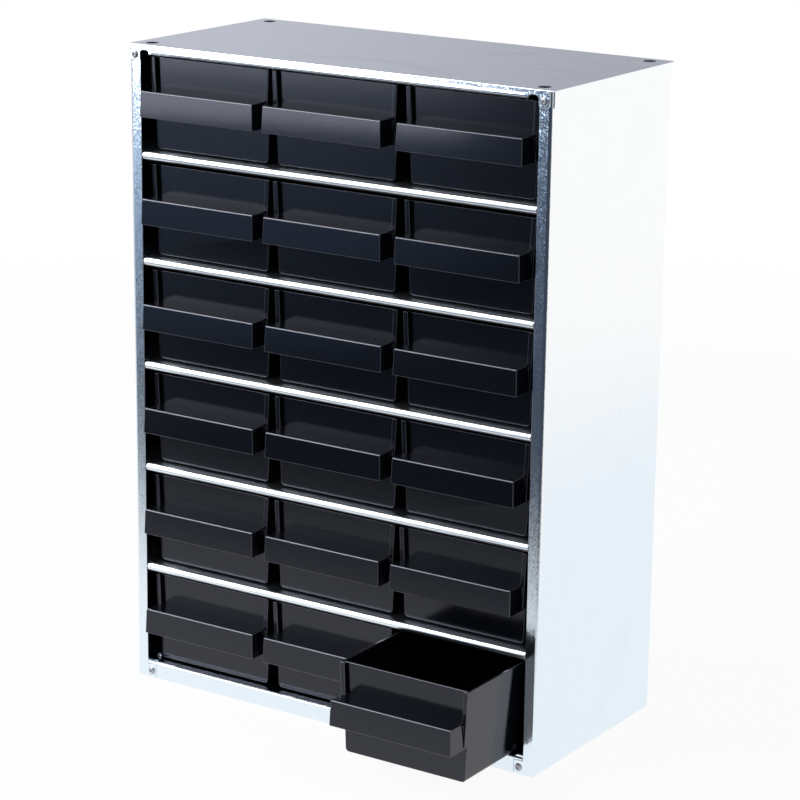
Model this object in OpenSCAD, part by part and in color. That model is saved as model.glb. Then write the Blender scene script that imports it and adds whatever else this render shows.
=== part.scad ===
// Small parts cabinet: a case of folded zinc-coated sheet with moulded black drawers in rows and columns.
// Millimetres, +Z up, front towards -Y. The origin is the middle of the base.

/* [Drawers] */
// Width of a drawer over the top of its walls
drawer_w = 90.8; // [70:0.2:120]
// Width of a drawer at its flat base
drawer_base_w = 85.2; // [64:0.2:112]
// Height of a drawer's side and rear walls
drawer_h = 58; // [48:0.5:90]
// Length of a drawer from its front wall to its rear wall
drawer_l = 132; // [90:1:220]
// Thickness of the drawer walls
drawer_wall = 1.6; // [1.2:0.1:2.4]
// Thickness of the drawer floor
drawer_floor = 1.8; // [1.2:0.1:3]
// Radius along the lower side edges of a drawer
drawer_edge_r = 2.5; // [2:0.1:4]
// How much lower the front wall is than the side walls
front_wall_drop = 0.5; // [0.3:0.1:4]
// Height of the two runners under a drawer
runner_h = 0.9; // [0.5:0.1:2]
// Width of a runner
runner_w = 3; // [2:0.1:6]
// Distance of the runners from the edges of the drawer's base and from its ends
runner_inset = 9; // [5:0.5:20]
// How far a drawer pulls out of the case
drawer_travel = 105; // [80:1:115]
// How far out the lowest right drawer stands
open_by = 63; // [0:1:80]

/* [Drawer handle] */
// Height of the ledge's top over the drawer's underside
ledge_z = 38.2; // [34:0.1:44]
// How far the handle reaches in front of the front wall
handle_reach = 17; // [14:0.5:24]
// Width of the handle at its ledge
handle_w = 85.2; // [66:0.2:114]
// How much further each end of the handle stands out at its lower edge
handle_flare = 0.5; // [0:0.1:2]
// Height of the handle's lip
handle_h = 16.3; // [12:0.1:20]
// How much further forward the lip's lower edge stands than its upper edge
lip_draft = 0.5; // [0:0.1:0.8]
// Thickness of the ledge, the lip and the end cheeks
handle_wall = 1.6; // [1.2:0.1:2.4]
// Radius of the lip's upper edge
lip_edge_r = 0.8; // [0.4:0.1:1.4]
// Width of the notch between an end cheek and the side wall
cheek_notch_w = 2.6; // [2:0.1:5]
// Depth of that notch
cheek_notch_h = 9; // [6:0.1:11.5]

/* [Label holder] */
// How far the side walls stand in front of the label panel
label_wing = 2.8; // [2.4:0.1:6]
// Width of the strips that hold the label's ends
label_strip_w = 3.2; // [2.4:0.1:7]
// Thickness of those strips
label_strip_t = 1; // [0.8:0.1:1.6]
// How far over the handle's lower edge those fronts of the side walls end
label_wing_foot = 1; // [0.6:0.1:4]

/* [Play] */
// Gap between a drawer's runners and the deck that it slides on
slide_gap = 0.3; // [0.2:0.1:0.8]
// Room over a drawer, under the shelf lip
head_room = 2.8; // [2:0.1:8]
// Room over the top drawers, under the cap's front edge
cap_head_room = 2; // [1.5:0.1:8]
// Gap between neighbouring drawers
column_gap = 4.1; // [3:0.1:10]
// Gap between the outer drawers and the case's front flanges
flange_gap = 3.4; // [2.5:0.1:10]
// Gap between a drawer and the back panel
rear_gap = 2; // [1:0.1:8]
// How far the drawer fronts stand behind the front of the case
front_recess = 9.2; // [6:0.1:14]

/* [Case] */
// Thickness of the zinc-coated sheet
sheet_t = 0.8; // [0.6:0.1:1.2]
// Outer radius of the sheet's vertical bends
bend_r = 2.4; // [1.6:0.1:3.4]
// Width of the side panels' front and rear flanges
flange_w = 9.3; // [8:0.1:14]
// Height of the bottom tray's deck over the floor
base_h = 11; // [9:0.5:20]
// Width of the in-turned foot along the bottom of each side panel
foot_w = 12; // [8:0.5:30]
// Depth of the cap's side and rear flanges, and of its corner ears
cap_h = 10.3; // [9:0.1:14]
// Height of the cap's front edge
cap_front_h = 5.8; // [5:0.1:7]
// Radius of the rolled bead under the cap's front edge
cap_bead_r = 1.7; // [1.2:0.1:2]
// Width of a corner ear
ear_w = 7.5; // [6.5:0.1:8]
// Width of the open slits at the cap's corners
corner_gap = 2; // [1:0.1:2.4]
// Width of the notch beside a corner ear
ear_notch_w = 7; // [5:0.1:10]
// How far the top of that notch lies under the cap
ear_notch_top = 3.4; // [3:0.1:4]
// How far the cap's bead stops short of the notches
bead_end = 1.5; // [0.5:0.1:4]
// Radius of the bead along the bottom tray's front edge
tray_bead_r = 1; // [0.8:0.1:1.4]
// Width of the side panels' foot tabs, in front of the tray
foot_tab_w = 6.3; // [5:0.1:9]
// Height of a foot tab
foot_tab_h = 8.8; // [7:0.1:9]

/* [Shelves and decks] */
// Height of a shelf's rolled front lip
lip_h = 5.8; // [4:0.2:8]
// Gap between a lip's ends and the front flanges
lip_end_gap = 0.5; // [0.3:0.1:2]
// Height of the welded flanges at a shelf's ends
shelf_end_h = 12; // [8:0.5:20]
// Radius of the guide ridges pressed up at the ends of the bottom deck
ridge_r = 2.6; // [2:0.1:3.2]
// Gap between the outer drawers' bases and the guide ridges
ridge_gap = 2.25; // [1.5:0.05:4]
// Length of a guide ridge between its round ends
ridge_l = 9.5; // [4:0.5:20]
// Distance of the front and rear ridges from the front and back of the case
ridge_inset = 17.5; // [16:0.5:30]

/* [Fasteners and holes] */
// Diameter of the holes in the top
top_hole_d = 8; // [5:0.1:10]
// Distance of the top holes from the sides of the cap
top_hole_side = 11.5; // [9:0.1:20]
// Distance of the top holes from the front and back of the cap
top_hole_end = 10; // [8:0.1:20]
// Diameter of a rivet's shank
rivet_d = 3.2; // [2.4:0.1:4]
// Diameter of a rivet's head
rivet_head_d = 5; // [4:0.1:6]
// Height of a rivet's domed head
rivet_head_h = 1.1; // [0.6:0.1:1.6]
// Diameter of the hollow that the mandrel leaves in a rivet's head
rivet_hollow_d = 1.8; // [1:0.1:2]
// Diameter of the head that is formed inside
rivet_tail_d = 4.4; // [3.8:0.1:6]
// Height of the formed head
rivet_tail_h = 0.9; // [0.5:0.1:1.5]
// Clearance all round a rivet's shank
rivet_clear = 0.05; // [0.03:0.01:0.2]

/* [Hidden] */
$fn = 48;
rows = 6;
columns = 3;

zinc = "#b9c2cc";
zinc_dark = "#a4adb8";
black_plastic = "#26272b";

// A column is as wide as a drawer's top or base, whichever is wider
column_w = max(drawer_w, drawer_base_w);
column_pitch = column_w + column_gap;
row_pitch = slide_gap + runner_h + drawer_h + head_room + lip_h;
cabinet_w = columns * column_w + (columns - 1) * column_gap + 2 * (flange_w + flange_gap);
cabinet_d = front_recess + drawer_l + rear_gap + sheet_t;
cabinet_h = base_h + rows * row_pitch - lip_h - head_room + cap_head_room + cap_front_h;

// Faces of the case, from the outside in
cap_x = cabinet_w / 2;
side_x = cap_x - sheet_t;
inner_x = side_x - sheet_t;
flange_x = cap_x - flange_w;
front_y = -cabinet_d / 2;
side_front_y = front_y + sheet_t;
back_y = cabinet_d / 2;
side_back_y = back_y - sheet_t;
cap_under_z = cabinet_h - sheet_t;
flange_mid_x = (flange_x + side_x) / 2;
bend_x = side_x - bend_r;
bend_y = side_back_y - bend_r;
foot_tab_x = flange_x - foot_tab_w;

// Where the rivets sit
ear_x = cap_x - corner_gap - ear_w;
ear_rivet_x = ear_x + ear_w / 2;
ear_rivet_z = cabinet_h - cap_h + ear_w / 2;
foot_rivet_x = flange_x - foot_tab_w / 2;
foot_rivet_z = foot_tab_h / 2;
cap_rear_rivet_z = cabinet_h - cap_h / 2;
panel_gap = 0.4;

// Each drawer's share of the side play, towards the left below zero, as loose drawers come to stand
side_share = [[0, -0.9, 0], [0, -0.6, 0], [0, 0.1, 0], [0, 0.2, -0.2], [-0.3, 0, -0.4], [-0.3, -0.6, -0.4]];
side_play = column_gap / 2;

side_slope = (drawer_w - drawer_base_w) / 2 / drawer_h;
// How far a round edge laps over the sloping wall that it runs into
round_lap = 0.02;
// How far a cutting shape runs past what it cuts
cut = 1;

function half_at(z) = drawer_base_w / 2 + side_slope * z;
function deck_z(row) = base_h + (rows - row) * row_pitch;
function column_x(column) = (column - (columns + 1) / 2) * column_pitch;
function out_by(row, column) = row == rows && column == columns ? open_by : 0;

// The back panel's rivets sit half way up every second row, clear of the shelves
panel_rivet_z = [for (row = [2 : 2 : rows]) deck_z(row) + row_pitch / 2];

// Runs a profile drawn in X and Z along Y
module along_y(from, to) {
    translate([0, to, 0]) rotate([90, 0, 0]) linear_extrude(to - from) children();
}

// Runs a profile drawn in Y and Z along X, centred on X = 0
module along_x(length) {
    translate([-length / 2, 0, 0]) rotate([90, 0, 90]) linear_extrude(length) children();
}

// Repeats a piece of the left half on the right
module both_sides() {
    children();
    mirror([1, 0, 0]) children();
}

// Band between a drawer's sloping walls, set in from their outer faces
module wall_band(from, to, inset) {
    polygon([
        [-half_at(from) + inset, from],
        [half_at(from) - inset, from],
        [half_at(to) - inset, to],
        [-half_at(to) + inset, to]
    ]);
}

// Cross-section of a drawer with round lower edges
module tub_section(from, to, inset, edge_r) {
    lean = atan(side_slope);
    base_half = half_at(from) - inset;
    touch_x = base_half - edge_r * (1 - sin(lean)) / cos(lean);
    centre_x = touch_x + round_lap;
    side_x = touch_x + edge_r * cos(lean);
    side_z = from + edge_r * (1 - sin(lean));
    top_half = half_at(to) - inset;
    polygon([
        [-centre_x, from],
        [centre_x, from],
        [side_x, side_z],
        [top_half, to],
        [-top_half, to],
        [-side_x, side_z]
    ]);
    for (side = [-1, 1]) translate([side * centre_x, from + edge_r]) circle(edge_r);
}

// Open box of a drawer on two runners. Its side walls run on past its front wall, over the handle's foot.
module drawer_tub() {
    front_y = -label_wing;
    difference() {
        along_y(front_y, drawer_l) tub_section(0, drawer_h, 0, drawer_edge_r);
        along_y(front_y - cut, drawer_l - drawer_wall)
            tub_section(drawer_floor, drawer_h + cut, drawer_wall, drawer_edge_r - drawer_wall / 2);
        translate([-drawer_w, front_y - cut, -cut])
            cube([2 * drawer_w, label_wing + cut, ledge_z - handle_h + label_wing_foot + cut]);
    }
    both_sides() translate([drawer_base_w / 2 - runner_inset - runner_w, runner_inset, -runner_h])
        cube([runner_w, drawer_l - 2 * runner_inset, runner_h + drawer_floor / 2]);
    along_y(0, drawer_wall) wall_band(drawer_floor / 2, drawer_h - front_wall_drop, drawer_wall / 2);
}

// Strips turned in from the side walls to hold the ends of a label, and the root of the ledge under them
module label_holder() {
    along_y(-label_wing, label_strip_t - label_wing) difference() {
        wall_band(ledge_z - handle_wall / 2, drawer_h, drawer_wall / 2);
        wall_band(ledge_z - handle_wall - cut, drawer_h + cut, label_strip_w);
    }
    along_y(-label_wing, drawer_wall / 2) wall_band(ledge_z - handle_wall, ledge_z, drawer_wall / 2);
}

// Front view of the handle, wider towards its open underside
module handle_section(inset) {
    half = handle_w / 2 - inset;
    flare = handle_flare / handle_h;
    top = ledge_z - inset;
    bottom = ledge_z - handle_h - (inset > 0 ? cut : 0);
    polygon([
        [-half - flare * (ledge_z - bottom), bottom],
        [half + flare * (ledge_z - bottom), bottom],
        [half + flare * (ledge_z - top), top],
        [-half - flare * (ledge_z - top), top]
    ]);
}

// Side view of the handle, with the lip's face leaning back and its upper edge rounded
module handle_profile() {
    seat = drawer_wall / 2;
    lean = atan(lip_draft / handle_h);
    edge_z = ledge_z - lip_edge_r;
    edge_y = lip_draft * (1 - lip_edge_r / handle_h) + lip_edge_r / cos(lean) - handle_reach;
    polygon([
        [-handle_reach, ledge_z - handle_h],
        [seat, ledge_z - handle_h],
        [seat, ledge_z],
        [edge_y, ledge_z],
        [edge_y - lip_edge_r * cos(lean), edge_z + lip_edge_r * sin(lean)]
    ]);
    translate([edge_y, edge_z]) circle(lip_edge_r);
}

// Handle across the front: ledge, lip and two end cheeks, open underneath
module handle() {
    over_w = handle_w + 2 * (handle_flare + cut);
    difference() {
        intersection() {
            along_y(-handle_reach - cut, drawer_wall) handle_section(0);
            along_x(over_w) handle_profile();
        }
        along_y(handle_wall - handle_reach, 0) handle_section(handle_wall);
    }
}

// Tapered notches that part the end cheeks from the side walls
module cheek_notches() {
    notch_x = handle_w / 2 - handle_wall;
    both_sides() translate([notch_x, 0, 0]) rotate([90, 0, 90]) linear_extrude(drawer_w)
        polygon([
            [-label_wing - cheek_notch_w, ledge_z],
            [-label_wing - cheek_notch_w, ledge_z + cut],
            [-label_wing, ledge_z + cut],
            [-label_wing, ledge_z - cheek_notch_h]
        ]);
}

// Drawer, with its underside at z = 0 and its front wall at y = 0
module drawer_shape() {
    color(black_plastic) {
        drawer_tub();
        label_holder();
        difference() {
            handle();
            cheek_notches();
        }
    }
}

module drawer(row, column) {
    translate([
        column_x(column) + side_share[row - 1][column - 1] * side_play,
        front_y + front_recess - out_by(row, column),
        deck_z(row) + slide_gap + runner_h
    ]) drawer_shape();
}

// Ridges pressed up from a deck beside the outer drawers, two deep
module guide_ridges(deck_top) {
    ridge_x = column_x(columns) + drawer_base_w / 2 + ridge_gap + ridge_r;
    ridge_y = cabinet_d / 2 - ridge_inset;
    for (side = [-1, 1], end = [-1, 1])
        translate([side * ridge_x, end * ridge_y, deck_top]) intersection() {
            union() {
                along_y(-ridge_l / 2, ridge_l / 2) circle(ridge_r);
                for (tip = [-1, 1]) translate([0, tip * ridge_l / 2, 0]) sphere(ridge_r);
            }
            translate([-2 * ridge_r, -ridge_l, -sheet_t / 2]) cube([4 * ridge_r, 2 * ridge_l, 2 * ridge_r]);
        }
}

// Shelf: deck, rolled front lip, flanges welded to the sides and a stiffening flange behind
module shelf(row) {
    top = deck_z(row);
    lip_r = lip_h / 2;
    lip_y = side_front_y + lip_r;
    rear_y = side_back_y - sheet_t - panel_gap;
    lip_l = 2 * (flange_x - lip_end_gap);
    deck_front_y = side_front_y + sheet_t + panel_gap + lip_r;
    deck_l = bend_y - deck_front_y;
    color(zinc_dark) {
        // Rolled lip and the deck that runs into it
        along_x(lip_l) difference() {
            union() {
                translate([lip_y, top - lip_r]) circle(lip_r);
                translate([lip_y, top - sheet_t]) square([lip_r, sheet_t]);
            }
            translate([lip_y, top - lip_r]) circle(lip_r - sheet_t);
        }
        translate([-inner_x, deck_front_y, top - sheet_t]) cube([2 * inner_x, deck_l, sheet_t]);
        translate([-lip_l / 2, lip_y, top - sheet_t]) cube([lip_l, 2 * lip_r, sheet_t]);
        // End flanges, which stop short of the side panels' rear bends
        both_sides() translate([inner_x - sheet_t, deck_front_y, top - shelf_end_h])
            cube([sheet_t, deck_l, shelf_end_h]);
        // Rear flange between those bends
        translate([-bend_x, bend_y - bend_r, top - sheet_t])
            cube([2 * bend_x, rear_y - bend_y + bend_r, sheet_t]);
        translate([-bend_x, rear_y - sheet_t, top - shelf_end_h / 2])
            cube([2 * bend_x, sheet_t, shelf_end_h / 2]);
    }
}

// Plan of a side panel: a wall with a flange turned in at the front and at the rear
module side_plan() {
    length = side_back_y - side_front_y;
    inner_r = bend_r - sheet_t;
    difference() {
        union() {
            translate([flange_x, side_front_y]) square([bend_x - flange_x, length]);
            translate([flange_x, side_front_y + bend_r]) square([side_x - flange_x, length - 2 * bend_r]);
            for (y = [-bend_y, bend_y]) translate([bend_x, y]) circle(bend_r);
        }
        translate([flange_x - cut, side_front_y + sheet_t])
            square([bend_x - flange_x + cut, length - 2 * sheet_t]);
        translate([flange_x - cut, side_front_y + bend_r])
            square([inner_x - flange_x + cut, length - 2 * bend_r]);
        for (y = [-bend_y, bend_y]) translate([bend_x, y]) circle(inner_r);
    }
}

// What the bend along the bottom of a side panel takes off outside
module bend_outside() {
    difference() {
        translate([side_x - bend_r, -cut]) square([bend_r + cut, bend_r + cut]);
        translate([side_x - bend_r, bend_r]) circle(bend_r);
        translate([side_x - bend_r - cut, 0]) square([cut, bend_r]);
    }
}

// The bend itself, a quarter of a ring
module bend_inside() {
    translate([side_x - bend_r, bend_r]) intersection() {
        difference() {
            circle(bend_r);
            circle(bend_r - sheet_t);
        }
        translate([0, -bend_r]) square(bend_r);
    }
}

// Bore for a rivet's shank through the case's front or back sheets
module rivet_bore(x, y, z) {
    translate([x, y, z]) rotate([90, 0, 0])
        cylinder(d = rivet_d + 2 * rivet_clear, h = 6 * sheet_t, center = true);
}

// Right side panel, with its foot along the bottom and its foot tab in front
module side_panel() {
    foot_front_y = side_front_y + 2 * sheet_t + panel_gap;
    difference() {
        union() {
            difference() {
                union() {
                    linear_extrude(cap_under_z) side_plan();
                    translate([inner_x - foot_w, foot_front_y, 0])
                        cube([foot_w + sheet_t / 2, -2 * foot_front_y, sheet_t]);
                    translate([foot_tab_x, side_front_y, 0]) cube([foot_tab_w + bend_r, sheet_t, foot_tab_h]);
                }
                along_y(front_y, back_y) bend_outside();
            }
            along_y(foot_front_y, -foot_front_y) bend_inside();
        }
        rivet_bore(ear_rivet_x, side_front_y, ear_rivet_z);
        rivet_bore(foot_rivet_x, side_front_y, foot_rivet_z);
        rivet_bore(flange_mid_x, side_back_y, cap_rear_rivet_z);
        for (z = panel_rivet_z) rivet_bore(flange_mid_x, side_back_y, z);
    }
}

module right_side() {
    color(zinc) side_panel();
}

module left_side() {
    color(zinc) mirror([1, 0, 0]) side_panel();
}

// Outline of what is cut away under the cap's front edge, between the corner ears
module cap_front_cut() {
    bead_x = ear_x - ear_notch_w;
    notch_z = cabinet_h - ear_notch_top;
    notch_r = ear_notch_w / 3;
    low_z = cabinet_h - cap_h - cut;
    translate([-ear_x, low_z]) square([2 * ear_x, cabinet_h - cap_front_h - low_z]);
    for (side = [-1, 1]) {
        for (x = [bead_x + notch_r, ear_x - notch_r])
            translate([side * x, notch_z - notch_r]) circle(notch_r);
        translate([side * (bead_x + ear_x) / 2, notch_z - notch_r / 2])
            square([ear_notch_w - 2 * notch_r, notch_r], center = true);
        translate([side * (bead_x + ear_x) / 2, (notch_z - notch_r + low_z) / 2])
            square([ear_notch_w, notch_z - notch_r - low_z], center = true);
    }
}

// Corners taken off the lower ends of the ears
module ear_corner_cut() {
    ear_r = ear_w / 4;
    low_z = cabinet_h - cap_h;
    for (side = [-1, 1]) translate([side * ear_rivet_x, low_z]) difference() {
        translate([-ear_w, -cut]) square([2 * ear_w, ear_r + cut]);
        for (x = [-1, 1]) translate([x * (ear_w / 2 - ear_r), ear_r]) circle(ear_r);
        translate([ear_r - ear_w / 2, 0]) square([ear_w - 2 * ear_r, ear_r]);
    }
}

// Cap over the case: a tray with a beaded front edge and an ear riveted over each front flange
module top_cap() {
    bead_l = 2 * (ear_x - ear_notch_w - bead_end);
    low_z = cabinet_h - cap_h;
    color(zinc) difference() {
        union() {
            difference() {
                translate([-cap_x, front_y, low_z]) cube([cabinet_w, cabinet_d, cap_h]);
                translate([-side_x, side_front_y, low_z - cut])
                    cube([2 * side_x, side_back_y - side_front_y, cap_h - sheet_t + cut]);
                along_y(front_y - cut, side_front_y + sheet_t / 4) cap_front_cut();
                along_y(front_y - cut, side_front_y + sheet_t / 4) ear_corner_cut();
                for (x = [-1, 1], y = [-1, 1]) translate([x * cap_x, y * cabinet_d / 2, low_z])
                    cube([2 * corner_gap, 2 * corner_gap, 2 * (cap_h - sheet_t)], center = true);
            }
            along_x(bead_l) translate([side_front_y, cabinet_h - cap_front_h + cap_bead_r])
                difference() {
                    circle(cap_bead_r);
                    circle(cap_bead_r - sheet_t);
                }
        }
        for (x = [-1, 1], y = [-1, 1])
            translate([x * (cap_x - top_hole_side), y * (cabinet_d / 2 - top_hole_end), cabinet_h])
                cylinder(d = top_hole_d, h = 4 * sheet_t, center = true);
        both_sides() {
            rivet_bore(ear_rivet_x, side_front_y, ear_rivet_z);
            rivet_bore(flange_mid_x, side_back_y, cap_rear_rivet_z);
        }
    }
}

// Tray that closes the bottom: deck, down-turned flanges and a beaded front edge between the foot tabs
module bottom_tray() {
    lap_x = flange_mid_x;
    lap_y = side_front_y + sheet_t;
    wide_y = lap_y + panel_gap + bend_r;
    rear_y = side_back_y - sheet_t;
    deck_front_y = side_front_y + tray_bead_r;
    under_z = base_h - sheet_t;
    bead_z = base_h - tray_bead_r;
    color(zinc) difference() {
        union() {
            // Deck, narrower between the front flanges and between the rear bends
            translate([-inner_x, wide_y, under_z]) cube([2 * inner_x, bend_y - wide_y, sheet_t]);
            translate([-bend_x, bend_y - bend_r, under_z])
                cube([2 * bend_x, rear_y - bend_y + bend_r, sheet_t]);
            translate([-foot_tab_x, deck_front_y, under_z])
                cube([2 * foot_tab_x, 2 * bend_r + sheet_t, sheet_t]);
            // Front edge and its bead
            translate([-foot_tab_x + panel_gap, side_front_y, 0])
                cube([2 * (foot_tab_x - panel_gap), sheet_t, bead_z]);
            along_x(2 * (flange_x - lip_end_gap))
                translate([side_front_y + tray_bead_r - sheet_t / 2, bead_z]) circle(tray_bead_r);
            // Laps behind the foot tabs
            both_sides() translate([foot_tab_x - foot_tab_w, lap_y, 0])
                cube([lap_x - foot_tab_x + foot_tab_w, sheet_t, foot_tab_h]);
            // Side flanges, welded to the side panels above their feet, and the rear flange
            both_sides() translate([inner_x - sheet_t, wide_y, bend_r])
                cube([sheet_t, bend_y - wide_y, under_z - bend_r + sheet_t / 2]);
            translate([-bend_x, rear_y - sheet_t, sheet_t]) cube([2 * bend_x, sheet_t, under_z]);
            guide_ridges(base_h);
        }
        both_sides() rivet_bore(foot_rivet_x, side_front_y, foot_rivet_z);
    }
}

// Back panel, laid over the side panels' rear flanges
module back_panel() {
    top_z = cabinet_h - cap_h - panel_gap;
    color(zinc_dark) difference() {
        translate([-bend_x, side_back_y, sheet_t]) cube([2 * bend_x, sheet_t, top_z - sheet_t]);
        both_sides() for (z = panel_rivet_z) rivet_bore(flange_mid_x, side_back_y, z);
    }
}

// Blind rivet with its domed head towards -Y on the plane y = 0, through two sheets
module rivet() {
    dome_r = (rivet_head_d * rivet_head_d / 4 + rivet_head_h * rivet_head_h) / (2 * rivet_head_h);
    rotate([90, 0, 0]) {
        difference() {
            intersection() {
                translate([0, 0, rivet_head_h - dome_r]) sphere(dome_r);
                cylinder(d = rivet_head_d, h = 2 * rivet_head_h);
            }
            translate([0, 0, rivet_head_h / 2]) cylinder(d = rivet_hollow_d, h = rivet_head_h);
        }
        translate([0, 0, -2 * sheet_t - rivet_tail_h / 2])
            cylinder(d = rivet_d, h = 2 * sheet_t + rivet_tail_h / 2 + rivet_head_h / 2);
        translate([0, 0, -2 * sheet_t - rivet_tail_h]) cylinder(d = rivet_tail_d, h = rivet_tail_h);
    }
}

// Rivets through the cap's ears and through the foot tabs
module front_rivets() {
    color(zinc_dark) both_sides() {
        translate([ear_rivet_x, front_y, ear_rivet_z]) rivet();
        translate([foot_rivet_x, side_front_y, foot_rivet_z]) rivet();
    }
}

// Rivets through the back panel and the cap's rear flange
module back_rivets() {
    color(zinc_dark) both_sides() for (z = concat(panel_rivet_z, [cap_rear_rivet_z]))
        translate([flange_mid_x, back_y, z]) mirror([0, 1, 0]) rivet();
}

top_cap();
bottom_tray();
left_side();
right_side();
back_panel();
front_rivets();
back_rivets();
for (row = [1 : rows - 1])
    shelf(row);
for (row = [1 : rows], column = [1 : columns])
    drawer(row, column);
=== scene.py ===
# %% [markdown]
# # A small parts cabinet
#
# The cabinet is a case of folded zinc-coated sheet with three columns of six black drawers, the lowest
# right one pulled out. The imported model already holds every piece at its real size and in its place, so this
# lesson is about looks: softened edges that catch the light, a metal and a plastic that behave like the real
# ones, and a plain white studio around them.

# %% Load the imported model
import math

import bmesh
import bpy
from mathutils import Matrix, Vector


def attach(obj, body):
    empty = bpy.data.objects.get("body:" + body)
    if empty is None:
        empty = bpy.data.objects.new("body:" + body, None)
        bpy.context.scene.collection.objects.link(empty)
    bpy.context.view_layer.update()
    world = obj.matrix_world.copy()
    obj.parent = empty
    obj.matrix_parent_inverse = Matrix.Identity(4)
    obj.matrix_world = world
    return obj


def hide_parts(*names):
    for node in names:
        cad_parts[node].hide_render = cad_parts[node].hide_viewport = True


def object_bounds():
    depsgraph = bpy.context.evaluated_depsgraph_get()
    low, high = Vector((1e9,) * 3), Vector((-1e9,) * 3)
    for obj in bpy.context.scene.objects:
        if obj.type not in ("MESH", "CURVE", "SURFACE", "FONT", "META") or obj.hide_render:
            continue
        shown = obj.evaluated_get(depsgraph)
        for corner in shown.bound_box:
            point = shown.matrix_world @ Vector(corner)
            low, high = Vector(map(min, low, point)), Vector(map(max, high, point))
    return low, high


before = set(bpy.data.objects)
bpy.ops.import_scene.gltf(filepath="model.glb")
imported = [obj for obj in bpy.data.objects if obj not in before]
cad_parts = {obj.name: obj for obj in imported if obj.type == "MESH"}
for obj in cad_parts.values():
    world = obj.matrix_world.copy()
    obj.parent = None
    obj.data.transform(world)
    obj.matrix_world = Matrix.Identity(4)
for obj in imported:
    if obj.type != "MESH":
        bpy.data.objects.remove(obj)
scene = bpy.context.scene
scene.view_settings.view_transform = "Standard"
cad_low, cad_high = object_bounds()
print("nodes", len(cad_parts), "box", [round(v, 4) for v in cad_high - cad_low])

# %% [markdown]
# ## Camera
#
# The picture was taken with a long lens from the right, a little above the cabinet, and the camera leans by
# less than a degree. The position and the three angles were worked out from the case's corners, which lie
# on known places of the model, so the render can be laid over the picture.

# %% Camera
camera_data = bpy.data.cameras.new("view_lens")
camera_data.lens = 125.83
camera_data.sensor_width = 36.0
camera_data.clip_end = 50.0
camera = bpy.data.objects.new("view", camera_data)
camera.location = (0.93994, -1.42437, 0.66704)
camera.rotation_euler = [math.radians(a) for a in (74.564, -0.684, 33.467)]
scene.collection.objects.link(camera)
scene.camera = camera
print("camera at", [round(v, 3) for v in camera.location])


# %% [markdown]
# ## Node helpers
#
# Materials, the world and Geometry Nodes are all built from nodes. A few small helpers keep those cells
# short: they add a node and set its values, join an output to an input, make a soft step and mix colours.

# %% Node helpers
def add(tree, kind, inputs=None, **settings):
    """Adds a node, sets its properties and the values of its inputs, and returns it."""
    node = tree.nodes.new(kind)
    for name, value in settings.items():
        setattr(node, name, value)
    for name, value in (inputs or {}).items():
        node.inputs[name].default_value = value
    return node


def join(tree, start, end):
    """Links an output socket to an input socket."""
    tree.links.new(start, end)


def smooth_range(tree, value, low, high, to_low=0.0, to_high=1.0):
    """Turns a value between low and high into an S-shaped step between two levels."""
    step = add(tree, "ShaderNodeMapRange", interpolation_type="SMOOTHSTEP")
    step.inputs["From Min"].default_value = low
    step.inputs["From Max"].default_value = high
    step.inputs["To Min"].default_value = to_low
    step.inputs["To Max"].default_value = to_high
    join(tree, value, step.inputs["Value"])
    return step.outputs["Result"]


def mix_colour(tree, factor, first, second):
    """Mixes two colours, each given as a socket or as a plain colour, by a socket or a number."""
    node = add(tree, "ShaderNodeMix", data_type="RGBA", blend_type="MIX")
    for socket, value in ((node.inputs[0], factor), (node.inputs[6], first), (node.inputs[7], second)):
        if isinstance(value, bpy.types.NodeSocket):
            join(tree, value, socket)
        else:
            socket.default_value = value
    return node.outputs[2]


def grey(level, tint=(1.0, 1.0, 1.0)):
    """A plain colour of one brightness, with an optional tint."""
    return (level * tint[0], level * tint[1], level * tint[2], 1.0)


# %% [markdown]
# ## Studio
#
# Bare metal and glossy black plastic show little of their own: they show the room. The room here is white
# low down behind, a soft grey overhead, and dark and bluish where the photographer stands, which is what the
# front of the cabinet mirrors. A pool of blue light lies there below the low lamp, and the upper rows mirror
# it. The world draws that room from the direction of each ray. The camera itself sees plain white.

# %% World
ROOM_TINT = (0.93, 0.97, 1.03)
SHADE_TINT = (0.75, 0.95, 1.35)
CEILING_TINT = (0.93, 0.965, 1.09)
POOL_BLUE = (0.26, 0.38, 0.56, 1.0)
FAR_WHITE = (1.17, 1.07, 1.0, 1.0)
world = bpy.data.worlds.new("studio")
scene.world = world
world.use_nodes = True
room = world.node_tree
room.nodes.clear()
direction = add(room, "ShaderNodeTexCoord").outputs["Generated"]
height = add(room, "ShaderNodeSeparateXYZ")
join(room, direction, height.inputs[0])


def towards(x, y):
    """How much each ray points along one level direction, from -1 to 1."""
    dot = add(room, "ShaderNodeVectorMath", operation="DOT_PRODUCT")
    dot.inputs[1].default_value = Vector((x, y, 0.0)).normalized()
    join(room, direction, dot.inputs[0])
    return dot.outputs["Value"]


front_dark = grey(0.055, SHADE_TINT)
left_soft = grey(0.6, ROOM_TINT)
lighter_end = smooth_range(room, towards(-0.8, 0.6), 0.895, 0.96)
ceiling = mix_colour(room, lighter_end, grey(0.47, CEILING_TINT), grey(0.68, CEILING_TINT))
left_side = smooth_range(room, towards(-1.0, -0.35), 0.8, 0.9)
low_wall = mix_colour(room, left_side, front_dark, left_soft)
pool = add(room, "ShaderNodeMath", operation="MULTIPLY")
join(room, smooth_range(room, height.outputs["Z"], -0.235, -0.18), pool.inputs[0])
join(room, smooth_range(room, towards(-0.67, -0.74), 0.962, 0.978), pool.inputs[1])
low_wall = mix_colour(room, pool.outputs[0], low_wall, POOL_BLUE)
studio = mix_colour(room, smooth_range(room, height.outputs["Z"], -0.02, 0.22), low_wall, ceiling)

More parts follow.
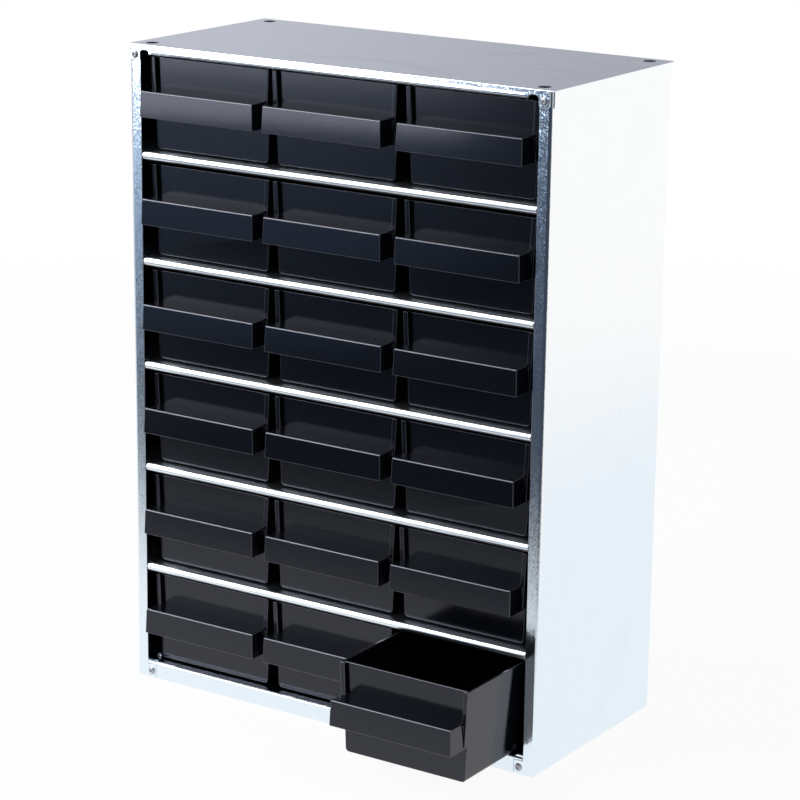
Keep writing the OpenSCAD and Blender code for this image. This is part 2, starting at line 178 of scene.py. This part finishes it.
# The white backdrop stands behind: metal mirrors it below the horizon, and the camera sees it all round
rays = add(room, "ShaderNodeLightPath")
mirrored = add(room, "ShaderNodeMath", operation="ADD")
join(room, rays.outputs["Is Glossy Ray"], mirrored.inputs[0])
join(room, rays.outputs["Is Transmission Ray"], mirrored.inputs[1])
behind = add(room, "ShaderNodeMath", operation="MULTIPLY")
join(room, smooth_range(room, towards(0.35, 0.94), -0.05, 0.3), behind.inputs[0])
join(room, smooth_range(room, height.outputs["Z"], 0.0, 0.16, 1.0, 0.0), behind.inputs[1])
masked = add(room, "ShaderNodeMath", operation="MULTIPLY_ADD", use_clamp=True)
join(room, mirrored.outputs[0], masked.inputs[0])
join(room, behind.outputs[0], masked.inputs[1])
join(room, rays.outputs["Is Camera Ray"], masked.inputs[2])
white_wall = mix_colour(room, rays.outputs["Is Glossy Ray"], grey(1.0), FAR_WHITE)
seen = mix_colour(room, masked.outputs[0], studio, white_wall)
backdrop = add(room, "ShaderNodeBackground", {"Strength": 1.0})
join(room, seen, backdrop.inputs["Color"])
join(room, backdrop.outputs[0], add(room, "ShaderNodeOutputWorld").inputs["Surface"])
print("world nodes", len(room.nodes))

# %% [markdown]
# ## Floor
#
# The cabinet stands on a sheet of white paper that ends about half a metre in front of it. The lowest
# drawers mirror the paper and look grey, and the middle rows mirror what lies beyond it and look black. The
# paper fades out at its edge, so no line shows. Most of its white is its own, which keeps the shadow faint.
# Far to the right it is brighter, which turns the upper part of the right side from pale blue to white.

# %% Floor
OWN_WHITE_SHARE = 0.94
floor_mesh = bpy.data.meshes.new("paper")
paper = bmesh.new()
bmesh.ops.create_circle(paper, cap_ends=True, segments=96, radius=1.6)
paper.to_mesh(floor_mesh)
paper.free()
floor = bpy.data.objects.new("paper", floor_mesh)
scene.collection.objects.link(floor)

floor_look = bpy.data.materials.new("white_paper")
floor_look.use_nodes = True
sheet = floor_look.node_tree
sheet.nodes.clear()
place = add(sheet, "ShaderNodeTexCoord").outputs["Object"]
reach = add(sheet, "ShaderNodeVectorMath", operation="LENGTH")
join(sheet, place, reach.inputs[0])
ahead = add(sheet, "ShaderNodeSeparateXYZ")
join(sheet, place, ahead.inputs[0])
faded = add(sheet, "ShaderNodeMath", operation="MAXIMUM")
join(sheet, smooth_range(sheet, ahead.outputs["Y"], -0.62, -0.14, 1.0, 0.0), faded.inputs[0])
join(sheet, smooth_range(sheet, reach.outputs["Value"], 0.8, 1.5), faded.inputs[1])
lit = add(sheet, "ShaderNodeBsdfDiffuse", {"Color": grey(0.85)})
own = add(sheet, "ShaderNodeEmission", {"Strength": 1.0})
own_white = mix_colour(sheet, smooth_range(sheet, ahead.outputs["X"], 0.36, 0.66), grey(1.0), FAR_WHITE)
join(sheet, own_white, own.inputs["Color"])
paths = add(sheet, "ShaderNodeLightPath")
looked_at = add(sheet, "ShaderNodeMath", operation="ADD")
join(sheet, paths.outputs["Is Camera Ray"], looked_at.inputs[0])
join(sheet, paths.outputs["Is Glossy Ray"], looked_at.inputs[1])
share = add(sheet, "ShaderNodeMath", operation="MULTIPLY", use_clamp=True)
share.inputs[1].default_value = OWN_WHITE_SHARE
join(sheet, looked_at.outputs[0], share.inputs[0])
white = add(sheet, "ShaderNodeMixShader")
join(sheet, share.outputs[0], white.inputs[0])
join(sheet, lit.outputs[0], white.inputs[1])
join(sheet, own.outputs[0], white.inputs[2])
edge = add(sheet, "ShaderNodeMixShader")
join(sheet, faded.outputs[0], edge.inputs[0])
join(sheet, white.outputs[0], edge.inputs[1])
join(sheet, add(sheet, "ShaderNodeBsdfTransparent").outputs[0], edge.inputs[2])
join(sheet, edge.outputs[0], add(sheet, "ShaderNodeOutputMaterial").inputs["Surface"])
floor_mesh.materials.append(floor_look)
print("floor", floor.dimensions[:])


# %% [markdown]
# ## Lamps
#
# Two soft boxes do the work, both at the front left. The high one draws the bright lines along the round
# edges of the handles and shelves. The low one stands just above the floor: the top rows mirror its lower
# edge, and the ledges mirror it by way of the label panels.

# %% Lamps
def soft_box(name, location, aim, width, depth, watts, colour=(1.0, 1.0, 1.0)):
    """A rectangular area lamp that points at a place."""
    lamp = bpy.data.lights.new(name, "AREA")
    lamp.shape = "RECTANGLE"
    lamp.size = width
    lamp.size_y = depth
    lamp.energy = watts
    lamp.color = colour
    box = bpy.data.objects.new(name, lamp)
    box.location = location
    box.rotation_euler = (Vector(aim) - Vector(location)).to_track_quat("-Z", "Y").to_euler()
    scene.collection.objects.link(box)


soft_box("high_box", (-1.12, -0.9, 1.42), (0.0, 0.0, 0.2), 1.2, 1.0, 26.0)
soft_box("low_box", (-1.31, -1.57, 0.415), (0.0, -0.05, 0.25), 0.84, 0.58, 6.2, (0.97, 0.98, 1.03))

# %% [markdown]
# ## Zinc coating
#
# Zinc freezes on the sheet as a fine crust of crystals. Each crystal leans its own way, so the metal
# glitters in specks below a millimetre where the room is uneven, and looks smooth where it mirrors plain
# white. A colour pattern would show everywhere, so the group puts out a lean for each crystal that tips the
# surface's normal. Handling leaves cloudy smears. Both effects are wanted in more than one material, so each
# is a group with its own inputs.


# %% Group: crystals of the zinc
MM_PER_METRE = 1000.0


def new_group(name, inputs, outputs):
    """An empty shader group with float inputs (name, value) and outputs (name, kind)."""
    group = bpy.data.node_groups.new(name, "ShaderNodeTree")
    for label, value in inputs:
        socket = group.interface.new_socket(label, in_out="INPUT", socket_type="NodeSocketFloat")
        socket.default_value = value
    for label, kind in outputs:
        group.interface.new_socket(label, in_out="OUTPUT", socket_type=kind)
    return group, group.nodes.new("NodeGroupInput"), group.nodes.new("NodeGroupOutput")


crystals, given, made = new_group(
    "zinc_crystals",
    [("Size mm", 1.2), ("Depth", 0.5)],
    [("Tone", "NodeSocketFloat"), ("Lean", "NodeSocketVector"), ("Height", "NodeSocketFloat")],
)
per_metre = add(crystals, "ShaderNodeMath", operation="DIVIDE")
per_metre.inputs[0].default_value = MM_PER_METRE
join(crystals, given.outputs["Size mm"], per_metre.inputs[1])
where = add(crystals, "ShaderNodeTexCoord").outputs["Object"]
grains = add(crystals, "ShaderNodeTexVoronoi", feature="F1")
join(crystals, where, grains.inputs["Vector"])
join(crystals, per_metre.outputs[0], grains.inputs["Scale"])
frost = add(crystals, "ShaderNodeTexNoise", {"Detail": 3.0, "Roughness": 0.6})
join(crystals, where, frost.inputs["Vector"])
join(crystals, per_metre.outputs[0], frost.inputs["Scale"])
grain_tone = add(crystals, "ShaderNodeSeparateColor")
join(crystals, grains.outputs["Color"], grain_tone.inputs[0])
blend = add(crystals, "ShaderNodeMix", data_type="FLOAT")
join(crystals, given.outputs["Depth"], blend.inputs[0])
blend.inputs[2].default_value = 0.5
join(crystals, grain_tone.outputs[0], blend.inputs[3])
join(crystals, blend.outputs[0], made.inputs["Tone"])
tilt = add(crystals, "ShaderNodeVectorMath", operation="SUBTRACT")
tilt.inputs[1].default_value = (0.5, 0.5, 0.5)
join(crystals, grains.outputs["Color"], tilt.inputs[0])
join(crystals, tilt.outputs[0], made.inputs["Lean"])
join(crystals, frost.outputs[0], made.inputs["Height"])
print("group", crystals.name, len(crystals.nodes))

# %% Group: smears left by hands
SMEAR_SOFTNESS = 0.35
smears, given, made = new_group(
    "hand_smears",
    [("Size mm", 60.0), ("Cover", 0.5)],
    [("Mask", "NodeSocketFloat")],
)
per_metre = add(smears, "ShaderNodeMath", operation="DIVIDE")
per_metre.inputs[0].default_value = MM_PER_METRE
join(smears, given.outputs["Size mm"], per_metre.inputs[1])
cloud = add(smears, "ShaderNodeTexNoise", {"Detail": 5.0, "Roughness": 0.55, "Distortion": 0.8})
join(smears, add(smears, "ShaderNodeTexCoord").outputs["Object"], cloud.inputs["Vector"])
join(smears, per_metre.outputs[0], cloud.inputs["Scale"])
bare = add(smears, "ShaderNodeMath", operation="SUBTRACT")
bare.inputs[0].default_value = 1.0
join(smears, given.outputs["Cover"], bare.inputs[1])
veil = add(smears, "ShaderNodeMapRange", interpolation_type="SMOOTHSTEP")
spread = add(smears, "ShaderNodeMath", operation="ADD")
spread.inputs[1].default_value = SMEAR_SOFTNESS
join(smears, bare.outputs[0], spread.inputs[0])
join(smears, bare.outputs[0], veil.inputs["From Min"])
join(smears, spread.outputs[0], veil.inputs["From Max"])
join(smears, cloud.outputs[0], veil.inputs["Value"])
join(smears, veil.outputs["Result"], made.inputs["Mask"])
print("group", smears.name, len(smears.nodes))


# %% [markdown]
# ## Metals
# One recipe makes each metal finish. The crystals shift its tone and its roughness a little and tip its
# surface, and the smears dull it in patches. The cap's top is darker than the other sheet, the rolled shelf
# lips are duller, and cut and folded edges are brighter, which paints a highlight along them. Rivets are bare
# steel. The walls of punched holes are bare steel too, made far darker as painted shade for the unlit inside
# of the holes.

# %% Metals
def group_node(tree, group, **values):
    """Places a shader group and sets its inputs, whose names are written with _ for a space."""
    node = add(tree, "ShaderNodeGroup", node_tree=group)
    for name, value in values.items():
        node.inputs[name.replace("_", " ")].default_value = value
    return node


def metal(name, dark, light, smooth, rough, grain_mm, lean, smear_mm, smear_cover, dull=0.9):
    """A bare metal with leaning crystals and smears that dull it."""
    look = bpy.data.materials.new(name)
    look.use_nodes = True
    tree = look.node_tree
    shader = tree.nodes["Principled BSDF"]
    shader.inputs["Metallic"].default_value = 1.0
    grain = group_node(tree, crystals, Size_mm=grain_mm, Depth=0.4)
    smear = group_node(tree, smears, Size_mm=smear_mm, Cover=smear_cover)
    tone = mix_colour(tree, grain.outputs["Tone"], dark + (1.0,), light + (1.0,))
    dulled = tuple(0.5 * (a + b) * dull for a, b in zip(dark, light)) + (1.0,)
    tone = mix_colour(tree, smear.outputs["Mask"], tone, dulled)
    join(tree, tone, shader.inputs["Base Color"])
    level = add(tree, "ShaderNodeMath", operation="MULTIPLY_ADD")
    level.inputs[1].default_value = rough - smooth
    level.inputs[2].default_value = smooth
    both = add(tree, "ShaderNodeMath", operation="ADD")
    join(tree, grain.outputs["Tone"], both.inputs[0])
    join(tree, smear.outputs["Mask"], both.inputs[1])
    half = add(tree, "ShaderNodeMath", operation="MULTIPLY")
    half.inputs[1].default_value = 0.5
    join(tree, both.outputs[0], half.inputs[0])
    join(tree, half.outputs[0], level.inputs[0])
    join(tree, level.outputs[0], shader.inputs["Roughness"])
    relief = add(tree, "ShaderNodeBump", {"Strength": 0.1, "Distance": 0.00008})
    join(tree, grain.outputs["Height"], relief.inputs["Height"])
    tipped = add(tree, "ShaderNodeVectorMath", operation="MULTIPLY_ADD")
    tipped.inputs[1].default_value = (lean, lean, lean)
    join(tree, grain.outputs["Lean"], tipped.inputs[0])
    join(tree, relief.outputs[0], tipped.inputs[2])
    unit = add(tree, "ShaderNodeVectorMath", operation="NORMALIZE")
    join(tree, tipped.outputs[0], unit.inputs[0])
    join(tree, unit.outputs[0], shader.inputs["Normal"])
    return look


zinc = metal(
    "zinc_sheet", (0.79, 0.885, 0.965), (0.84, 0.925, 0.99), 0.13, 0.22, 0.7, 0.055, 70.0, 0.45, 0.95,
)
zinc_lip = metal("zinc_lip", (0.83, 0.9, 0.95), (0.88, 0.94, 0.98), 0.26, 0.36, 0.5, 0.03, 70.0, 0.45, 0.95)
zinc_top = metal("zinc_top", (0.76, 0.81, 0.88), (0.82, 0.87, 0.93), 0.12, 0.2, 0.7, 0.03, 80.0, 0.5, 0.8)
# The edge finish is a little brighter than the sheet: a painted highlight along the bevels and folds.
zinc_edge_highlight = metal("zinc_edge_highlight", (0.82, 0.88, 0.93), (0.90, 0.94, 0.98), 0.16, 0.26, 0.7, 0.04, 30.0, 0.3)
rivet_steel = metal("rivet_steel", (0.38, 0.38, 0.4), (0.52, 0.52, 0.54), 0.3, 0.42, 0.6, 0.15, 8.0, 0.4)
# Cut steel, far darker than bare steel is: painted shade for the unlit walls of the cap's punched holes.
cut_steel_hole_shade = metal("cut_steel_hole_shade", (0.16, 0.16, 0.17), (0.24, 0.24, 0.25), 0.4, 0.55, 0.6, 0.1, 8.0, 0.5)
print("metals", [m.name for m in (zinc, zinc_lip, zinc_top, zinc_edge_highlight, rivet_steel, cut_steel_hole_shade)])


# %% [markdown]
# ## Drawer plastic
#
# The drawers are black because of the carbon that makes them conductive. The mould leaves a semi-gloss skin
# with a slight ripple, so the mirror image in it is soft and a little uneven. The fronts of the handle lips
# are smoother. The rounded edges are paler and glossier: partly rubbed wear, partly a painted highlight.

# %% Drawer plastic
SHEEN_TINT = (0.86, 0.88, 1.0, 1.0)
SKIN_SHARE = 0.03
BODY_BLACK = (0.0042, 0.0052, 0.0078)


def plastic(name, body, dusty, smooth, rough, gloss, bump):
    """A moulded black plastic with a rippled skin and a little dust."""
    look = bpy.data.materials.new(name)
    look.use_nodes = True
    tree = look.node_tree
    shader = tree.nodes["Principled BSDF"]
    shader.inputs["Specular IOR Level"].default_value = gloss
    shader.inputs["Specular Tint"].default_value = SHEEN_TINT
    spot = add(tree, "ShaderNodeTexCoord").outputs["Object"]
    dust = group_node(tree, smears, Size_mm=35.0, Cover=0.4)
    tone = mix_colour(tree, dust.outputs["Mask"], body + (1.0,), dusty + (1.0,))
    join(tree, tone, shader.inputs["Base Color"])
    level = smooth_range(tree, dust.outputs["Mask"], 0.0, 1.0, smooth, rough)
    join(tree, level, shader.inputs["Roughness"])
    ripple = add(tree, "ShaderNodeTexNoise", {"Scale": 90.0, "Detail": 2.0})
    skin = add(tree, "ShaderNodeTexNoise", {"Scale": 2600.0, "Detail": 2.0})
    join(tree, spot, ripple.inputs["Vector"])
    join(tree, spot, skin.inputs["Vector"])
    mixed = add(tree, "ShaderNodeMath", operation="MULTIPLY_ADD")
    mixed.inputs[1].default_value = SKIN_SHARE
    join(tree, skin.outputs[0], mixed.inputs[0])
    join(tree, ripple.outputs[0], mixed.inputs[2])
    relief = add(tree, "ShaderNodeBump", {"Strength": bump, "Distance": 0.0002})
    join(tree, mixed.outputs[0], relief.inputs["Height"])
    join(tree, relief.outputs[0], shader.inputs["Normal"])
    return look


black = plastic("black_plastic", BODY_BLACK, (0.007, 0.0084, 0.0118), 0.14, 0.22, 0.55, 0.08)
black_lip = plastic("black_plastic_lip", BODY_BLACK, (0.006, 0.0072, 0.01), 0.09, 0.15, 0.5, 0.06)
# The edge finish is paler and glossier than the body: partly rubbed wear, partly a painted highlight along the
# rounded edges.
black_edge_wear_and_highlight = plastic("black_plastic_edge_wear_and_highlight", (0.05, 0.052, 0.058), (0.07, 0.072, 0.08), 0.2, 0.3, 1.0, 0.05)
print("plastics", black.name, black_lip.name, black_edge_wear_and_highlight.name)


# %% [markdown]
# ## Softened edges
#
# No real edge is perfectly sharp, and the thin bright lines along the drawers and the folds are what make
# the picture read as plastic and sheet. The imported meshes have sharp edges, so each piece gets a copy: its
# loose triangles are welded, its flat faces are joined again, and every outer edge that turns by more than 30
# degrees is rounded with a narrow bevel. The bevel's own faces take the edge finish, which is paler than the
# rest and so adds a painted highlight along each edge. The back panel keeps its triangles: a joined face round
# its row of rivet holes would fold over itself.

# %% Softened copies
EDGE_SLOT = 1
LIP_SLOT = 2
WELD_REACH = 0.000002
SHARP_TURN = math.radians(30.0)
FLAT_TURN = math.radians(0.5)
SMOOTH_TURN = math.radians(50.0)
DRAWER_BEVEL = 0.00035
SHEET_BEVEL = 0.00018


def rounded(mesh, width, chosen=None, segments=2):
    """Bevels a mesh's sharp edges, or those of them that a test picks, and gives the new faces slot 1."""
    work = bmesh.new()
    work.from_mesh(mesh)
    sharp = []
    for item in work.edges:
        if len(item.link_faces) == 2 and item.is_convex and item.calc_face_angle(0.0) > SHARP_TURN:
            if chosen is None or chosen(item):
                sharp.append(item)
    bmesh.ops.bevel(
        work, geom=sharp, offset=width, offset_type="OFFSET", segments=segments, profile=0.5,
        affect="EDGES", clamp_overlap=False, material=EDGE_SLOT,
    )
    work.to_mesh(mesh)
    work.free()


def clean_copy(node, looks, joined=True):
    """A welded copy of a node's mesh with its own finishes, and with its flat faces joined if asked."""
    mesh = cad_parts[node].data.copy()
    mesh.materials.clear()
    for look in looks:
        mesh.materials.append(look)
    work = bmesh.new()
    work.from_mesh(mesh)
    bmesh.ops.remove_doubles(work, verts=work.verts, dist=WELD_REACH)
    if joined:
        bmesh.ops.dissolve_limit(
            work, angle_limit=FLAT_TURN, use_dissolve_boundaries=False,
            verts=work.verts, edges=work.edges,
        )
    for face in work.faces:
        face.material_index = 0
        face.smooth = True
    work.to_mesh(mesh)
    work.free()
    return mesh


def finish_piece(name, mesh, body, node):
    """Makes an object of a mesh, shades it, and lets it stand for a node."""
    mesh.shade_smooth()
    mesh.set_sharp_from_angle(angle=SMOOTH_TURN)
    piece = bpy.data.objects.new(name, mesh)
    scene.collection.objects.link(piece)
    weigh = piece.modifiers.new("large_faces_first", "WEIGHTED_NORMAL")
    weigh.keep_sharp = True
    weigh.weight = 100
    graph = bpy.context.evaluated_depsgraph_get()
    shaded = bpy.data.meshes.new_from_object(piece.evaluated_get(graph), depsgraph=graph)
    piece.modifiers.remove(weigh)
    piece.data = shaded
    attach(piece, body)
    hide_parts(node)


def finish_lip(mesh):
    """Gives a drawer's lip its own finish in front, and the paler edge finish, partly a painted highlight,
    where it turns over to its top.
    """
    front = min(v.co.y for v in mesh.vertices)
    for face in mesh.polygons:
        if face.normal.y < -0.99 and face.center.y < front + 0.0005:
            face.material_index = LIP_SLOT
        elif face.normal.y < -0.05 and face.normal.z > 0.05 and abs(face.normal.x) < 0.1:
            face.material_index = EDGE_SLOT


for row in range(1, 7):
    for column in range(1, 4):
        node = f"drawer_r{row}_c{column}"
        tub = clean_copy(node, [black, black_edge_wear_and_highlight, black_lip])
        finish_lip(tub)
        rounded(tub, DRAWER_BEVEL)
        finish_piece(f"{node}_moulding", tub, node, node)
print("drawer faces", len(tub.polygons))

# %% Top cap
UPRIGHT_SLOT = 2
HOLE_SLOT = 3
HOLE_X = 0.1415
HOLE_Y = 0.062
HOLE_REACH = 0.0045
FOLD_BEVEL = 0.0005
FOLD_LENGTH = 0.02
case_height = cad_high.z
cap = clean_copy("top_cap", [zinc_top, zinc_edge_highlight, zinc, cut_steel_hole_shade])


def at_hole(point):
    """Whether a place lies on the wall of one of the cap's four holes."""
    return math.hypot(abs(point.x) - HOLE_X, abs(point.y) - HOLE_Y) < HOLE_REACH


# The walls of the holes take the dark cut steel, painted shade for their unlit inside.
for face in cap.polygons:
    if abs(face.normal.z) < 0.5:
        face.material_index = HOLE_SLOT if at_hole(face.center) else UPRIGHT_SLOT


def is_fold(item):
    """Picks the cap's folded edges: those that run round its top."""
    on_top = all(abs(v.co.z - case_height) < 0.00001 for v in item.verts)
    return on_top and item.calc_length() > FOLD_LENGTH


def is_rim(item):
    """Picks every other edge of the cap, but leaves the punched holes sharp."""
    return not at_hole(item.verts[0].co)


rounded(cap, FOLD_BEVEL, chosen=is_fold, segments=3)
rounded(cap, SHEET_BEVEL, chosen=is_rim)
finish_piece("cap_sheet", cap, "case", "top_cap")
print("cap faces", len(cap.polygons))

# %% Other sheet pieces
sheets = ["bottom_tray", "left_side", "right_side", "back_panel"] + [f"shelf_{i}" for i in range(1, 6)]
for node in sheets:
    looks = [zinc_lip if "shelf" in node else zinc, zinc_edge_highlight]
    plate = clean_copy(node, looks, joined=node != "back_panel")
    rounded(plate, SHEET_BEVEL)
    finish_piece(f"{node}_sheet", plate, "case", node)
print("other sheet pieces", len(sheets))

# %% [markdown]
# ## Rivets
#
# Blind rivets hold the cap's ears and the foot tabs in front, and the back panel and the cap behind. All
# are alike, so one Geometry Nodes tree turns a profile into a rivet and sets one on every seat. A grid is
# bent round into the head: one side of the grid is the angle, the other walks along the profile from the
# hollow that the mandrel leaves, over the dome, down to the rim and back to the axis under the head.


# %% Rivet tree
RIVET_HEAD_HEIGHT = 0.0011


def rivet_tree():
    """Geometry Nodes that put a rivet on every point of a mesh."""
    tree = bpy.data.node_groups.new("blind_rivets", "GeometryNodeTree")
    tree.interface.new_socket("Geometry", in_out="INPUT", socket_type="NodeSocketGeometry")
    lengths = [
        ("Head Diameter", 0.005), ("Head Height", RIVET_HEAD_HEIGHT), ("Shank Diameter", 0.0032),
        ("Grip", 0.0016), ("Tail Diameter", 0.0044), ("Tail Height", 0.0009),
    ]
    for label, value in lengths:
        socket = tree.interface.new_socket(label, in_out="INPUT", socket_type="NodeSocketFloat")
        socket.default_value = value
    tree.interface.new_socket("Facing", in_out="INPUT", socket_type="NodeSocketVector")
    tree.interface.new_socket("Finish", in_out="INPUT", socket_type="NodeSocketMaterial")
    tree.interface.new_socket("Geometry", in_out="OUTPUT", socket_type="NodeSocketGeometry")
    given = tree.nodes.new("NodeGroupInput")
    made = tree.nodes.new("NodeGroupOutput")
    spans = {"Size X": 1.0, "Size Y": 1.0, "Vertices X": 33, "Vertices Y": 17}
    grid = add(tree, "GeometryNodeMeshGrid", spans)
    split = add(tree, "ShaderNodeSeparateXYZ")
    join(tree, add(tree, "GeometryNodeInputPosition").outputs[0], split.inputs[0])

    def calc(operation, first, second):
        """A maths node of two sockets or numbers."""
        node = add(tree, "ShaderNodeMath", operation=operation)
        for socket, value in zip(node.inputs, (first, second)):
            if isinstance(value, bpy.types.NodeSocket):
                join(tree, value, socket)
            else:
                socket.default_value = value
        return node.outputs[0]

    turn = calc("MULTIPLY", calc("ADD", split.outputs["X"], 0.5), 2.0 * math.pi)
    along = calc("ADD", split.outputs["Y"], 0.5)

    def profile(points):
        """A curve of levels along the profile."""
        node = add(tree, "ShaderNodeFloatCurve")
        curve = node.mapping.curves[0]
        curve.points[0].location = points[0]
        curve.points[1].location = points[-1]
        for point in points[1:-1]:
            curve.points.new(*point)
        for point in curve.points:
            point.handle_type = "VECTOR"
        node.mapping.update()
        join(tree, along, node.inputs["Value"])
        return node.outputs[0]

    out = profile([(0.0, 0.0), (0.2, 0.3), (0.35, 0.36), (0.5, 0.48), (0.75, 0.9), (0.875, 1.0),
                   (0.9375, 1.0), (1.0, 0.0)])
    up = profile([(0.0, 0.42), (0.2, 0.42), (0.35, 0.94), (0.5, 1.0), (0.75, 0.62), (0.875, 0.3),
                  (0.9375, 0.0), (1.0, 0.0)])
    radius = calc("MULTIPLY", calc("MULTIPLY", given.outputs["Head Diameter"], 0.5), out)
    spot = add(tree, "ShaderNodeCombineXYZ")
    join(tree, calc("MULTIPLY", radius, calc("COSINE", turn, 0.0)), spot.inputs[0])
    join(tree, calc("MULTIPLY", radius, calc("SINE", turn, 0.0)), spot.inputs[1])
    join(tree, calc("MULTIPLY", given.outputs["Head Height"], up), spot.inputs[2])
    bend = add(tree, "GeometryNodeSetPosition")
    join(tree, grid.outputs[0], bend.inputs["Geometry"])
    join(tree, spot.outputs[0], bend.inputs["Position"])
    head = add(tree, "GeometryNodeMergeByDistance", {"Distance": WELD_REACH})
    join(tree, bend.outputs[0], head.inputs[0])

    def rod(diameter, length, middle):
        """A closed cylinder on the rivet's axis."""
        node = add(tree, "GeometryNodeMeshCylinder", {"Vertices": 24})
        join(tree, calc("MULTIPLY", diameter, 0.5), node.inputs["Radius"])
        join(tree, length, node.inputs["Depth"])
        shift = add(tree, "ShaderNodeCombineXYZ")
        join(tree, middle, shift.inputs[2])
        put = add(tree, "GeometryNodeTransform")
        join(tree, node.outputs[0], put.inputs["Geometry"])
        join(tree, shift.outputs[0], put.inputs["Translation"])
        return put.outputs[0]

    grip = given.outputs["Grip"]
    tail = given.outputs["Tail Height"]
    shank = rod(given.outputs["Shank Diameter"], grip, calc("MULTIPLY", grip, -0.5))
    foot = rod(given.outputs["Tail Diameter"], tail, calc("SUBTRACT", calc("MULTIPLY", tail, -0.5), grip))
    whole = add(tree, "GeometryNodeJoinGeometry")
    for part in (head.outputs[0], shank, foot):
        join(tree, part, whole.inputs[0])
    placed = add(tree, "GeometryNodeInstanceOnPoints")
    join(tree, given.outputs["Geometry"], placed.inputs["Points"])
    join(tree, whole.outputs[0], placed.inputs["Instance"])
    join(tree, given.outputs["Facing"], placed.inputs["Rotation"])
    solid = add(tree, "GeometryNodeRealizeInstances")
    join(tree, placed.outputs[0], solid.inputs[0])
    coat = add(tree, "GeometryNodeSetMaterial")
    join(tree, solid.outputs[0], coat.inputs["Geometry"])
    join(tree, given.outputs["Finish"], coat.inputs["Material"])
    join(tree, coat.outputs[0], made.inputs[0])
    return tree


rivets = rivet_tree()
print("rivet nodes", len(rivets.nodes))

# %% [markdown]
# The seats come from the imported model: each loose solid of a rivet node is found by its own box, and its
# seat is the plane under its head. The evaluated result becomes a plain mesh, so nothing live is left on it.


# %% Rivets in place
def rivet_seats(node, outward):
    """Middles of a rivet node's solids, on the plane under their heads."""
    work = bmesh.new()
    work.from_mesh(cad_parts[node].data)
    bmesh.ops.remove_doubles(work, verts=work.verts, dist=WELD_REACH)
    left = set(work.verts)
    seats = []
    while left:
        todo = [left.pop()]
        solid = []
        while todo:
            vert = todo.pop()
            solid.append(vert.co.copy())
            for item in vert.link_edges:
                other = item.other_vert(vert)
                if other in left:
                    left.remove(other)
                    todo.append(other)
        low = Vector([min(p[i] for p in solid) for i in range(3)])
        high = Vector([max(p[i] for p in solid) for i in range(3)])
        middle = (low + high) / 2
        middle.y = (high.y if outward > 0 else low.y) - outward * RIVET_HEAD_HEIGHT
        seats.append(middle)
    work.free()
    return seats


def set_rivets(name, node, outward):
    """Runs the rivet tree on the seats of one node and keeps the result as a plain mesh."""
    points = bpy.data.meshes.new(f"{name}_seats")
    points.from_pydata([tuple(p) for p in rivet_seats(node, outward)], [], [])
    holder = bpy.data.objects.new(f"{name}_seats", points)
    scene.collection.objects.link(holder)
    run = holder.modifiers.new("rivets", "NODES")
    run.node_group = rivets
    keys = {item.name: item.identifier for item in rivets.interface.items_tree if item.in_out == "INPUT"}
    run[keys["Facing"]] = (math.radians(-90.0 * outward), 0.0, 0.0)
    run[keys["Finish"]] = rivet_steel
    graph = bpy.context.evaluated_depsgraph_get()
    mesh = bpy.data.meshes.new_from_object(holder.evaluated_get(graph), depsgraph=graph)
    holder.modifiers.remove(run)
    bpy.data.objects.remove(holder)
    work = bmesh.new()
    work.from_mesh(mesh)
    bmesh.ops.recalc_face_normals(work, faces=work.faces)
    work.to_mesh(mesh)
    work.free()
    finish_piece(name, mesh, "case", node)
    print(name, len(points.vertices), "rivets", len(mesh.polygons), "faces")


set_rivets("front_rivet_set", "front_rivets", -1)
set_rivets("back_rivet_set", "back_rivets", 1)
